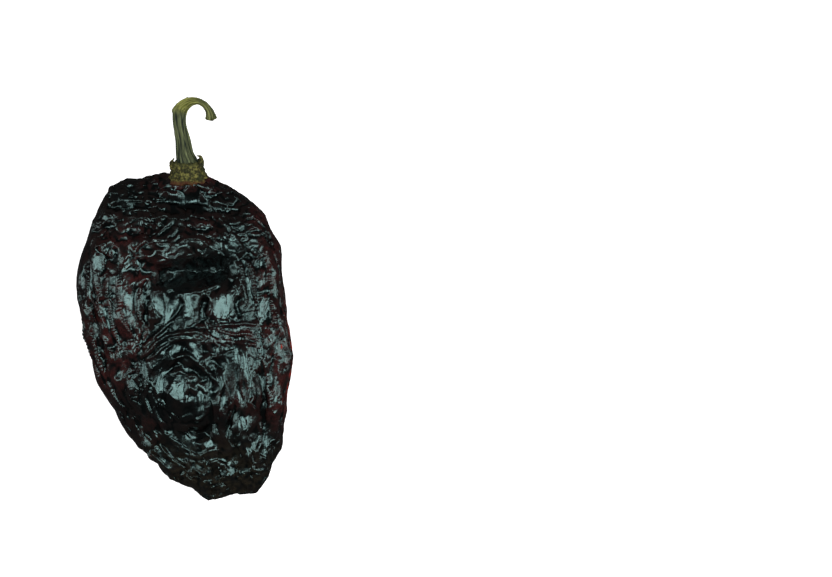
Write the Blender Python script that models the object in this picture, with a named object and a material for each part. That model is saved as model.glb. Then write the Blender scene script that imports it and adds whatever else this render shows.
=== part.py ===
"""A whole dried ancho chilli, lying on its broad side.

Three pieces: the wrinkled pod, the ragged calyx that caps its neck, and the ribbed stem with its
bent-over hook. All sizes below are in millimetres. The stem points along +Y, the pod is broadest
along X, and the side that shows faces +Z. The origin is on the table, under the middle of the
whole chilli.
"""

import math

import bmesh
import bpy
import numpy as np
from mathutils import Matrix, Vector, noise

MM = 0.001

# Pod: outline seen from above, clockwise from beside the calyx.
POD_OUTLINE = (
    (7.2, 41.3), (10.7, 40.2), (14.4, 38.4), (20.4, 34.9), (25.5, 30.5), (28.3, 25.8), (30.8, 18.5),
    (33.0, 10.3), (33.5, 2.2), (33.7, -3.3), (35.2, -8.6), (36.3, -16.5), (36.4, -24.7), (34.9, -31.3),
    (34.8, -37.0), (32.5, -43.9), (30.7, -53.4), (27.6, -60.6), (24.2, -64.5), (19.6, -65.9), (16.5, -65.1),
    (13.9, -67.4), (10.1, -68.1), (6.0, -66.5), (1.8, -63.7), (-5.3, -58.5), (-12.8, -52.3), (-18.8, -44.6),
    (-24.7, -37.1), (-28.3, -29.3), (-30.9, -21.6), (-33.5, -12.3), (-35.4, -4.9), (-36.1, 4.1), (-35.4, 13.5),
    (-32.4, 23.3), (-29.5, 30.8), (-26.7, 36.2), (-23.4, 38.4), (-18.6, 40.2), (-12.0, 41.3), (-6.4, 41.9),
)
POD_MIDDLE = (1.0, -9.0)
POD_THICKNESS = 24.0
RIM_HEIGHT = 10.8
# Share of the full thickness along the pod, as (y, share), from the tip to the neck.
THICKNESS_SHARE = ((-69, 0.5), (-57, 0.72), (-35, 0.92), (-10, 1.0), (20, 0.98), (43, 0.86))
EDGE_FULLNESS = 2.6
CROWN_FULLNESS = 2.6
WARP_HEIGHT = 1.6
WARP_LENGTH = 46.0
FLATTENED_SHARE = 0.024
SIDE_CUTS = 26

# Neck: the low cone under the calyx.
NECK_X = 1.3
NECK_TIP_Y = 43.2
NECK_HEIGHT = 12.6
NECK_STEEPNESS = 0.062
NECK_BLEND = 1.2

# Folds of the upper side: height, half width, and the points that the crest runs through.
FOLDS = (
    (-1.9, 1.7, ((-32.3, 24), (-31.8, 7), (-29.8, -4), (-27.7, -17), (-23.8, -30), (-16, -42), (-3, -55))),
    (1.2, 2.0, ((-28.6, 21), (-28.2, 6), (-26.2, -6), (-24.0, -18), (-19.8, -29), (-12, -40.5))),
    (-1.6, 1.5, ((20.2, 30), (22.6, 17), (24.6, 5), (25.4, -10), (26.4, -22), (28, -34), (26, -48), (21, -59))),
    (1.1, 1.8, ((29.2, 18), (30.6, 4), (31.2, -10), (32.8, -24), (31.6, -40), (28, -52))),
    (-1.7, 1.6, ((6.2, 6), (5.6, -2), (6.6, -10))),
    (1.3, 1.6, ((2.4, 3), (1.8, -4), (3.2, -10))),
    (1.2, 1.5, ((-15.5, -17.5), (-9.4, -14.4), (-3.2, -11.4), (2.4, -12.0), (10, -13.6), (19, -12.4))),
    (1.5, 1.3, ((-11.6, -25), (-6.6, -21.0), (-1.9, -18.2), (3.4, -18.6), (8.4, -22.2), (13.4, -27.5))),
    (-1.3, 1.2, ((-11.8, -30), (-9, -24.5), (-2, -21.6), (4, -22.6), (8.6, -27))),
    (1.2, 1.3, ((7.4, -27.5), (9.6, -32), (8.2, -37.4), (3.6, -41))),
    (1.4, 1.2, ((12.8, -24), (13.4, -32), (12.6, -41), (11.6, -47))),
    (-1.2, 1.3, ((17.0, -22), (17.8, -32), (17.0, -42))),
    (1.1, 1.5, ((-17.5, -44.5), (-9, -53.0), (-0.5, -60.6), (6, -64.2))),
    (1.2, 1.6, ((-25, 33.0), (-14, 33.6), (-3, 32.2), (8, 33.4), (18, 31))),
    (1.0, 1.5, ((-27, 27.6), (-15, 28.0), (-4, 26.6), (7, 27.6), (20, 25))),
    (-1.2, 1.4, ((-26, 30.4), (-14, 30.8), (-3, 29.4), (8, 30.4), (19, 28))),
    (1.0, 1.6, ((-20, 20), (-19, 8), (-20.5, -4), (-17.5, -14))),
    (-1.0, 1.6, ((-23.8, 18), (-23.4, 4), (-22.2, -8), (-20, -22))),
    (1.0, 1.5, ((17.5, 22), (19, 12), (20.2, 1))),
)
# Bosses and hollows of the upper side: height, centre x and y, half length along x and along y.
BOSSES = (
    (-4.6, 7.0, 10.2, 9.0, 4.8),
    (-3.2, -5.0, 8.4, 4.6, 3.4),
    (1.5, -7.6, 16.4, 4.0, 4.2),
    (1.4, 14.6, -2.4, 4.6, 4.8),
    (1.3, -7.8, -1.2, 4.4, 5.2),
    (2.8, -0.4, -30.8, 8.4, 8.8),
    (-1.7, 4.2, -47.0, 6.6, 2.6),
    (1.5, 22.6, -50.6, 3.6, 3.8),
    (1.7, 12.6, -60.4, 4.2, 4.0),
    (-1.5, 17.4, -54.6, 4.0, 2.6),
    (1.2, 21.5, -29.5, 3.6, 7.5),
)
# Bosses and hollows of the under side, read the same way.
UNDER_BOSSES = (
    (3.1, -12.5, 8.0, 9.5, 10.0),
    (1.8, 14.0, 2.0, 8.0, 10.0),
    (1.8, 1.0, -32.0, 9.0, 9.0),
    (-2.2, 0.0, -8.0, 8.0, 10.0),
    (-1.6, -15.0, -17.0, 6.0, 8.0),
    (-1.4, 18.0, -24.0, 5.0, 8.0),
    (-1.3, 4.0, 24.0, 8.0, 6.0),
)
WRINKLE_HEIGHT = 1.55
WRINKLE_ACROSS = 7.5
WRINKLE_ALONG = 15.0
SHOULDER_START = 18.0
SHOULDER_END = 27.0

# Calyx: a ragged collar round the neck. Its profile is radius and height along the stem's axis.
CALYX_SEAT = (1.2, 41.9, 12.8)
STEM_LIFT_DEG = 11.0
COLLAR_PROFILE = (
    (0.0, -3.4), (5.4, -3.4), (7.1, -2.7), (7.0, -1.2), (6.2, 0.6), (5.5, 2.2), (5.1, 3.5),
    (4.7, 4.4), (4.25, 3.8), (4.1, 2.6), (4.0, 1.9), (0.0, 1.8),
)
COLLAR_STEPS = 44
SKIRT_RINGS = (2, 3)
MOUTH_RINGS = (6, 7, 8)
# Teeth left of the dried sepals: direction round the stem in degrees, length, lean outwards.
COLLAR_TEETH = ((2, 2.1, -0.2), (68, 1.3, 0.5), (128, 1.0, 0.4), (181, 1.7, -0.1), (247, 0.9, 0.5), (305, 0.7, 0.3))
TOOTH_WIDTH_DEG = 13.0
COLLAR_ROUGHNESS = 0.42
TOUCHING_GAP = 0.3

# Stem: points of its middle line with the radius there, from the calyx to the torn tip.
STEM_ROUTE = (
    (1.2, 44.25, 13.3, 3.3), (1.0, 47.0, 13.9, 3.15), (0.2, 52.8, 14.9, 2.5), (-0.4, 55.4, 15.4, 2.3),
    (-0.9, 59.0, 15.9, 2.15), (-0.9, 62.0, 16.3, 2.1), (0.1, 64.5, 16.6, 1.9), (2.1, 65.9, 16.8, 1.45),
    (4.5, 66.2, 16.8, 1.15), (7.4, 65.1, 16.6, 1.15), (9.1, 63.0, 16.2, 1.35), (9.6, 60.5, 15.8, 1.85),
)
STEM_RIBS = 5
RIB_DEPTH = 0.11
RIB_SAMPLES = 4
STEM_TWIST_DEG = 55.0
STEM_STEPS = 4


def clear_scene():
    """Removes everything that the start-up file holds."""
    for thing in list(bpy.data.objects):
        bpy.data.objects.remove(thing)


def collection_named(name):
    """A collection of that name, linked to the scene."""
    found = bpy.data.collections.new(name)
    bpy.context.scene.collection.children.link(found)
    return found


def material_named(name, colour, roughness):
    """A Principled material of one colour."""
    made = bpy.data.materials.new(name)
    made.use_nodes = True
    shader = made.node_tree.nodes["Principled BSDF"]
    shader.inputs["Base Color"].default_value = (*colour, 1)
    shader.inputs["Roughness"].default_value = roughness
    shader.inputs["Metallic"].default_value = 0
    made.diffuse_color = (*colour, 1)
    return made


def object_from(name, shape, collection, material):
    """A mesh object made from a bmesh in millimetres, which is freed."""
    bmesh.ops.scale(shape, vec=(MM, MM, MM), verts=shape.verts)
    bmesh.ops.recalc_face_normals(shape, faces=shape.faces)
    mesh = bpy.data.meshes.new(name)
    shape.to_mesh(mesh)
    shape.free()
    mesh.materials.append(material)
    mesh.shade_smooth()
    made = bpy.data.objects.new(name, mesh)
    collection.objects.link(made)
    return made


def smooth_curve(points, steps, closed=False):
    """Points along a Catmull-Rom curve through the given points, steps for each span."""
    given = np.array(points, float)
    if closed:
        ring = np.concatenate([given[-1:], given, given[:2]])
    else:
        ring = np.concatenate([2 * given[:1] - given[1:2], given, 2 * given[-1:] - given[-2:-1]])
    a, b, c, d = ring[:-3, None], ring[1:-2, None], ring[2:-1, None], ring[3:, None]
    t = np.linspace(0, 1, steps, endpoint=False)[None, :, None]
    curve = b + 0.5 * t * (c - a + t * (2 * a - 5 * b + 4 * c - d + t * (3 * (b - c) + d - a)))
    return curve.reshape(-1, given.shape[1])


def smooth_step(value, low, high):
    """0 below low, 1 above high, and a smooth rise between them."""
    t = np.clip((value - low) / (high - low), 0, 1)
    return t * t * (3 - 2 * t)


def noise_at(points, lengths, offset):
    """Perlin noise, from about -1 to 1, at points divided by a length for each axis."""
    scaled = points / np.array(lengths) + offset
    return np.array([noise.noise(Vector(p)) for p in scaled])


def outline_radius(angles):
    """Distance from the pod's middle to its outline, in each direction."""
    outline = smooth_curve(POD_OUTLINE, 12, closed=True) - np.array(POD_MIDDLE)
    directions = np.arctan2(outline[:, 1], outline[:, 0])
    order = np.argsort(directions)
    reach = np.linalg.norm(outline, axis=1)[order]
    return np.interp(angles, directions[order], reach, period=2 * math.pi)


def profile_at(share):
    """Reach and height of the pillow's section, 0 to 1, at a share of the way from crown to rim."""
    angles = np.linspace(0, math.pi / 2, 200)
    reach = np.sin(angles) ** (2 / EDGE_FULLNESS)
    height = np.cos(angles) ** (2 / CROWN_FULLNESS)
    mean_radius = 46.0
    steps = np.hypot(np.diff(reach) * mean_radius, np.diff(height) * POD_THICKNESS / 2)
    along = np.concatenate([[0], np.cumsum(steps)])
    along /= along[-1]
    return np.interp(share, along, reach), np.interp(share, along, height)


def pillow(sphere_points):
    """Moves points of a unit sphere onto the smooth pod, with even spacing over its broad sides."""
    angle = np.arctan2(sphere_points[:, 1], sphere_points[:, 0])
    reach, height = profile_at(np.sqrt(1 - np.abs(sphere_points[:, 2])))
    radius = outline_radius(angle) * reach
    x = POD_MIDDLE[0] + radius * np.cos(angle)
    y = POD_MIDDLE[1] + radius * np.sin(angle)
    stations, shares = zip(*THICKNESS_SHARE)
    share = np.interp(y, stations, shares)
    upper = (POD_THICKNESS - RIM_HEIGHT) * height * share
    lower = RIM_HEIGHT * height * share
    z = RIM_HEIGHT + np.where(sphere_points[:, 2] > 0, upper, -lower)
    return np.stack([x, y, z], axis=1)


def with_neck(points):
    """Draws the end of the pod out into the low cone that the calyx covers."""
    off_axis = (points[:, 0] - NECK_X) ** 2 + (points[:, 2] - NECK_HEIGHT) ** 2
    cone = NECK_TIP_Y - NECK_STEEPNESS * off_axis
    lift = NECK_BLEND * np.logaddexp(0, (cone - points[:, 1]) / NECK_BLEND)
    near_the_end = smooth_step(points[:, 1], 28.0, 36.0)
    moved = points.copy()
    moved[:, 1] += lift * near_the_end
    return moved


def fold_relief(points, folds):
    """Height of the folds over each point, from its distance to each crest seen from above."""
    total = np.zeros(len(points))
    for height, half_width, crest in folds:
        line = smooth_curve(crest, 8)
        away = np.linalg.norm(points[:, None, :2] - line[None], axis=2)
        nearest = away.argmin(axis=1)
        share = nearest / (len(line) - 1)
        fade = smooth_step(share, -0.02, 0.12) * smooth_step(1 - share, -0.02, 0.12)
        total += height * fade * np.exp(-np.abs(away.min(axis=1) / half_width) ** 1.6)
    return total


def boss_relief(points, bosses):
    """Height of the round bosses and hollows over each point."""
    total = np.zeros(len(points))
    for height, x, y, half_x, half_y in bosses:
        away = np.hypot((points[:, 0] - x) / half_x, (points[:, 1] - y) / half_y)
        total += height * np.exp(-(away**2.4))
    return total


def wrinkle_relief(points):
    """Rounded wrinkles with sharp valleys: lengthwise on the body, crosswise on the shoulder."""
    bend = np.stack([noise_at(points, (17, 17, 17), offset) for offset in (3.1, 7.7, 12.3)], axis=1)
    bent = points + 3.2 * bend
    lengthwise = noise_at(bent, (WRINKLE_ACROSS, WRINKLE_ALONG, WRINKLE_ACROSS), 21.4)
    crosswise = noise_at(bent, (WRINKLE_ALONG, WRINKLE_ACROSS, WRINKLE_ACROSS), 33.9)
    on_shoulder = smooth_step(points[:, 1], SHOULDER_START, SHOULDER_END)
    wave = lengthwise * (1 - on_shoulder) + crosswise * on_shoulder
    return WRINKLE_HEIGHT * (np.sqrt(wave**2 + 0.002) * 2 - 0.5)


def unit_sphere(cuts):
    """A bmesh ball made from a cube whose sides are cut into an even grid."""
    ball = bmesh.new()
    bmesh.ops.create_cube(ball, size=2)
    bmesh.ops.subdivide_edges(ball, edges=ball.edges, cuts=cuts - 1, use_grid_fill=True)
    for vertex in ball.verts:
        even = Vector([math.tan(c * math.pi / 4) for c in vertex.co])
        vertex.co = even.normalized()
    return ball


def build_pod(collection, material):
    """The pod: a pillow over the outline, then its neck, bosses, folds and wrinkles."""
    shape = unit_sphere(SIDE_CUTS)
    sphere = np.array([v.co for v in shape.verts])
    points = with_neck(pillow(sphere))
    for vertex, place in zip(shape.verts, points):
        vertex.co = place
    shape.normal_update()
    normals = np.array([v.normal for v in shape.verts])
    upper = smooth_step(normals[:, 2], -0.1, 0.45)
    lower = smooth_step(-normals[:, 2], -0.1, 0.45)
    relief = upper * (fold_relief(points, FOLDS) + boss_relief(points, BOSSES))
    relief += lower * boss_relief(points, UNDER_BOSSES)
    neck_distance = np.hypot(points[:, 0] - NECK_X, points[:, 1] - NECK_TIP_Y)
    off_neck = smooth_step(neck_distance, 3.0, 11.0)
    thin_tip = 0.55 + 0.45 * smooth_step(points[:, 1], -68.0, -48.0)
    relief = (relief + wrinkle_relief(points)) * off_neck * thin_tip
    points = points + normals * relief[:, None]
    points[:, 2] += WARP_HEIGHT * noise_at(points * (1, 1, 0), (WARP_LENGTH,) * 3, 5.3) * off_neck
    table = np.quantile(points[:, 2], FLATTENED_SHARE)
    points[:, 2] = np.maximum(points[:, 2] - table, 0)
    for vertex, place in zip(shape.verts, points):
        vertex.co = place
    return object_from("pod", shape, collection, material)


def build_calyx(collection, cutters, pod, material):
    """The calyx: a turned collar with a ragged skirt and mouth, cut to lie on the pod."""
    shape = bmesh.new()
    rings = len(COLLAR_PROFILE)
    profile = [shape.verts.new((radius, 0, height)) for radius, height in COLLAR_PROFILE]
    edges = [shape.edges.new(pair) for pair in zip(profile, profile[1:])]
    bmesh.ops.spin(
        shape, geom=profile + edges, cent=(0, 0, 0), axis=(0, 0, 1), angle=2 * math.pi, steps=COLLAR_STEPS,
        use_merge=True,
    )
    bmesh.ops.remove_doubles(shape, verts=shape.verts, dist=0.01)
    for vertex in shape.verts:
        radius = math.hypot(vertex.co.x, vertex.co.y)
        if radius < 0.1:
            continue
        turn = math.atan2(vertex.co.y, vertex.co.x)
        heights = [abs(vertex.co.z - h) + abs(radius - r) for r, h in COLLAR_PROFILE]
        ring = heights.index(min(heights))
        outward = Vector((math.cos(turn), math.sin(turn), 0))
        rough = noise.noise(Vector((3 * math.cos(turn), 3 * math.sin(turn), ring * 0.45 + 4.2)))
        if 2 <= ring <= rings - 5:
            vertex.co += outward * rough * COLLAR_ROUGHNESS
        if ring in SKIRT_RINGS:
            scallop = noise.noise(Vector((2.2 * math.cos(turn), 2.2 * math.sin(turn), 9.6)))
            vertex.co.z += 1.5 * scallop - 0.9 * abs(math.sin(turn))
        if ring in MOUTH_RINGS:
            for direction, length, lean in COLLAR_TEETH:
                off = (math.degrees(turn) - direction + 180) % 360 - 180
                part = math.exp(-((off / TOOTH_WIDTH_DEG) ** 2))
                vertex.co.z += length * part
                vertex.co += outward * lean * length * 0.35 * part
    upright = Matrix.Rotation(math.radians(STEM_LIFT_DEG - 90), 4, "X")
    bmesh.ops.transform(shape, matrix=Matrix.Translation(CALYX_SEAT) @ upright, verts=shape.verts)
    calyx = object_from("calyx", shape, collection, material)
    cutter = bpy.data.objects.new("calyx_cutter", pod.data.copy())
    cutters.objects.link(cutter)
    cutter.display_type = "WIRE"
    cutter.hide_render = True
    swell = cutter.modifiers.new("gap", "DISPLACE")
    swell.strength = TOUCHING_GAP * MM
    swell.mid_level = 0
    cut = calyx.modifiers.new("lie_on_pod", "BOOLEAN")
    cut.operation = "DIFFERENCE"
    cut.object = cutter
    return calyx


def rib_profile(collection):
    """The stem's section: a rounded star, as a flat closed curve of radius 1 mm."""
    outline = bpy.data.curves.new("stem_section", "CURVE")
    outline.dimensions = "2D"
    spline = outline.splines.new("POLY")
    count = STEM_RIBS * RIB_SAMPLES
    spline.points.add(count - 1)
    for index, point in enumerate(spline.points):
        turn = 2 * math.pi * index / count
        radius = 1 + RIB_DEPTH * (math.cos(STEM_RIBS * turn) - 0.4)
        point.co = (radius * MM * math.cos(turn), radius * MM * math.sin(turn), 0, 1)
    spline.use_cyclic_u = True
    section = bpy.data.objects.new("stem_section", outline)
    section.hide_render = True
    section.display_type = "WIRE"
    collection.objects.link(section)
    return section


def build_stem(collection, guides, material):
    """The stem: the ribbed section swept along the hook, thick at the calyx and torn at its tip."""
    sweep = bpy.data.curves.new("stem_line", "CURVE")
    sweep.dimensions = "3D"
    sweep.bevel_mode = "OBJECT"
    sweep.bevel_object = rib_profile(guides)
    sweep.use_fill_caps = True
    sweep.twist_mode = "MINIMUM"
    line = smooth_curve(STEM_ROUTE, STEM_STEPS)
    line = np.concatenate([line, [STEM_ROUTE[-1]]])
    spline = sweep.splines.new("POLY")
    spline.points.add(len(line) - 1)
    for index, (point, (x, y, z, radius)) in enumerate(zip(spline.points, line)):
        point.co = (x * MM, y * MM, z * MM, 1)
        point.radius = radius
        point.tilt = math.radians(STEM_TWIST_DEG) * index / len(line)
    holder = bpy.data.objects.new("stem_line", sweep)
    guides.objects.link(holder)
    graph = bpy.context.evaluated_depsgraph_get()
    mesh = bpy.data.meshes.new_from_object(holder.evaluated_get(graph))
    shape = bmesh.new()
    shape.from_mesh(mesh)
    bmesh.ops.remove_doubles(shape, verts=shape.verts, dist=0.01 * MM)
    bmesh.ops.scale(shape, vec=(1 / MM,) * 3, verts=shape.verts)
    bpy.data.meshes.remove(mesh)
    bpy.data.objects.remove(holder)
    return object_from("stem", shape, collection, material)


def stand_on_origin(pieces, helpers):
    """Moves everything so that the origin is under the middle of the whole chilli."""
    bpy.context.view_layer.update()
    graph = bpy.context.evaluated_depsgraph_get()
    corners = np.array([corner for piece in pieces for corner in piece.evaluated_get(graph).bound_box])
    low, high = corners.min(axis=0), corners.max(axis=0)
    shift = Vector((-(low[0] + high[0]) / 2, -(low[1] + high[1]) / 2, -low[2]))
    for piece in pieces + helpers:
        piece.location = shift


def main():
    clear_scene()
    chilli = collection_named("dried_chilli")
    guides = collection_named("guides")
    skin = material_named("dried_skin", (0.035, 0.012, 0.012), 0.32)
    husk = material_named("calyx_husk", (0.22, 0.19, 0.06), 0.75)
    bark = material_named("stem_bark", (0.10, 0.12, 0.045), 0.7)
    pod = build_pod(chilli, skin)
    calyx = build_calyx(chilli, guides, pod, husk)
    stem = build_stem(chilli, guides, bark)
    stand_on_origin([pod, calyx, stem], [bpy.data.objects["calyx_cutter"]])


main()
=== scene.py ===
# %% [markdown]
# # A dried ancho chilli, lying on its broad side
#
# This script dresses the plain CAD chilli of the frame: its pod, its calyx and its stem. A dried ancho
# is a lesson in skin. The flesh under the skin loses nearly all its water and shrinks, the skin doesn't,
# and so it folds. Long soft folds come first, then sharper creases inside them, and the waxy surface
# makes a bright patch of every small facet that faces the light. So most of this script is about
# shrinking, and only a little about colour.
#
# The first cell loads the frame, the CAD model, and sets each of its meshes in place in the world.

import math
from types import SimpleNamespace

import bpy
import numpy as np
from mathutils import Matrix, Vector, noise
from mathutils.kdtree import KDTree


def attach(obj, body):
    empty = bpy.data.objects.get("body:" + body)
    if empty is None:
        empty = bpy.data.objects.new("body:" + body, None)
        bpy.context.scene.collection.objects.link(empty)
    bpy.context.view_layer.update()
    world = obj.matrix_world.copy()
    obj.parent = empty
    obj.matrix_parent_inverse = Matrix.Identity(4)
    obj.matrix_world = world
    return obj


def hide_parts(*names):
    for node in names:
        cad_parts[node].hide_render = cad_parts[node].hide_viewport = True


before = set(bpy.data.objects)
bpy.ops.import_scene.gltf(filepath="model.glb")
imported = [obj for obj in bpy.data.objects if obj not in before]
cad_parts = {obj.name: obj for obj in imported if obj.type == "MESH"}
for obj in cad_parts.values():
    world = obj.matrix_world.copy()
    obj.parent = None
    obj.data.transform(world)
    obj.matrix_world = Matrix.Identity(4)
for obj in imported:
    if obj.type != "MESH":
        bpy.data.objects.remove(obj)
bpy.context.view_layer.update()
MM = 0.001
SAME_PLACE = 1e-6

# %% [markdown]
# ## Small helpers
#
# Everything below is measured in millimetres and turned into metres only when it goes back into a mesh.
# `ramp` is the S-shaped step from 0 to 1 that artists call smoothstep, and `curve_through` runs a smooth
# curve through a few points, which is how the folds, the stem and the teeth of the calyx are laid out.
# `noise_over` samples Blender's own Perlin noise, which is the same on each run.

# %% Helpers for shapes
def ramp(value, low, high):
    """0 below low, 1 above high, with a smooth rise between."""
    t = np.clip((value - low) / (high - low), 0, 1)
    return t * t * (3 - 2 * t)


def curve_through(points, steps):
    """Points on a Catmull-Rom curve, steps for each span, with the last point kept."""
    given = np.array(points, float)
    ring = np.concatenate([2 * given[:1] - given[1:2], given, 2 * given[-1:] - given[-2:-1]])
    a, b, c, d = ring[:-3, None], ring[1:-2, None], ring[2:-1, None], ring[3:, None]
    t = np.linspace(0, 1, steps, endpoint=False)[None, :, None]
    curve = b + 0.5 * t * (c - a + t * (2 * a - 5 * b + 4 * c - d + t * (3 * (b - c) + d - a)))
    return np.concatenate([curve.reshape(-1, given.shape[1]), given[-1:]])


def noise_over(points, length, offset):
    """Perlin noise at each point. length is the size of its blobs in millimetres."""
    return np.array([noise.noise(Vector(p)) for p in points / length + offset])


def unit(vectors):
    """The same vectors, one unit long."""
    return vectors / (np.linalg.norm(vectors, axis=1, keepdims=True) + 1e-9)


def spots(points, table):
    """The sum of soft oval spots, each x, y, half x, half y and strength."""
    total = np.zeros(len(points))
    for x, y, half_x, half_y, strength in table:
        away = ((points[:, 0] - x) / half_x) ** 2 + ((points[:, 1] - y) / half_y) ** 2
        total += strength * np.exp(-away)
    return total


def only(piece):
    """Makes piece the one selected and active object."""
    bpy.ops.object.select_all(action="DESELECT")
    piece.select_set(True)
    bpy.context.view_layer.objects.active = piece


def apply_modifier(piece, kind, **settings):
    """Adds a modifier with those settings and applies it."""
    only(piece)
    made = piece.modifiers.new(kind.lower(), kind)
    for name, value in settings.items():
        setattr(made, name, value)
    bpy.ops.object.modifier_apply(modifier=made.name)


def read(items, name, kind=float):
    """One property of all items of a mesh, as one long array. A vector takes three places in it."""
    width = {"co": 3, "normal": 3, "vector": 3, "vertices": 2}.get(name, 1)
    flat = np.empty(len(items) * width, kind)
    items.foreach_get(name, flat)
    return flat.reshape(-1, width) if width > 1 else flat


def places(piece):
    """The vertices of a piece as an array, in millimetres."""
    return read(piece.data.vertices, "co") / MM


def move_to(piece, points):
    """Puts the vertices of a piece at those points, in millimetres."""
    piece.data.vertices.foreach_set("co", (points * MM).ravel())
    piece.data.update()


def turn_faces_out(piece, weld=False):
    """Makes all faces of a closed piece point outwards, after its doubled points are welded if asked."""
    only(piece)
    bpy.ops.object.mode_set(mode="EDIT")
    bpy.ops.mesh.select_all(action="SELECT")
    if weld:
        bpy.ops.mesh.remove_doubles(threshold=SAME_PLACE)
    bpy.ops.mesh.normals_make_consistent(inside=False)
    bpy.ops.object.mode_set(mode="OBJECT")


print("helpers ready")

# %% [markdown]
# ## The pod: a smooth start
#
# The CAD pod has the right outline, thickness, hollows and main folds, but its faces are nearly 2 mm
# wide, and a dried skin has creases of half a millimetre. The pod's skin starts as a copy of it. The copy's
# loose triangles are welded, joined into four-sided faces and cut finer with Subdivision Surface. That
# keeps the mesh even, which matters here: the shrinking below treats each edge as a small spring, and
# springs of one length behave alike in all directions.

# %% Copy the CAD pod and make it finer
pod = bpy.data.objects.new("pod_skin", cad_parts["pod"].data.copy())
bpy.context.scene.collection.objects.link(pod)
only(pod)
bpy.ops.object.mode_set(mode="EDIT")
bpy.ops.mesh.select_all(action="SELECT")
bpy.ops.mesh.remove_doubles(threshold=SAME_PLACE)
bpy.ops.mesh.tris_convert_to_quads(face_threshold=math.pi, shape_threshold=math.pi)
bpy.ops.object.mode_set(mode="OBJECT")
apply_modifier(pod, "SUBSURF", levels=1, render_levels=1)
print("pod skin:", len(pod.data.vertices), "points in the first, coarse round")

# %% [markdown]
# ## Crests that the eye remembers
#
# Two chillies never fold alike, and this one has folds that make it recognisable: long ones down both
# flanks, a roof of diagonal ones across the middle, a round boss below it with a curved double crest, and
# fine cross folds on the shoulder. They could be sculpted by hand. Here each is a line of points with a
# height and a half width in millimetres, and raises (or, if negative, sinks) the skin beneath its line.

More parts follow.
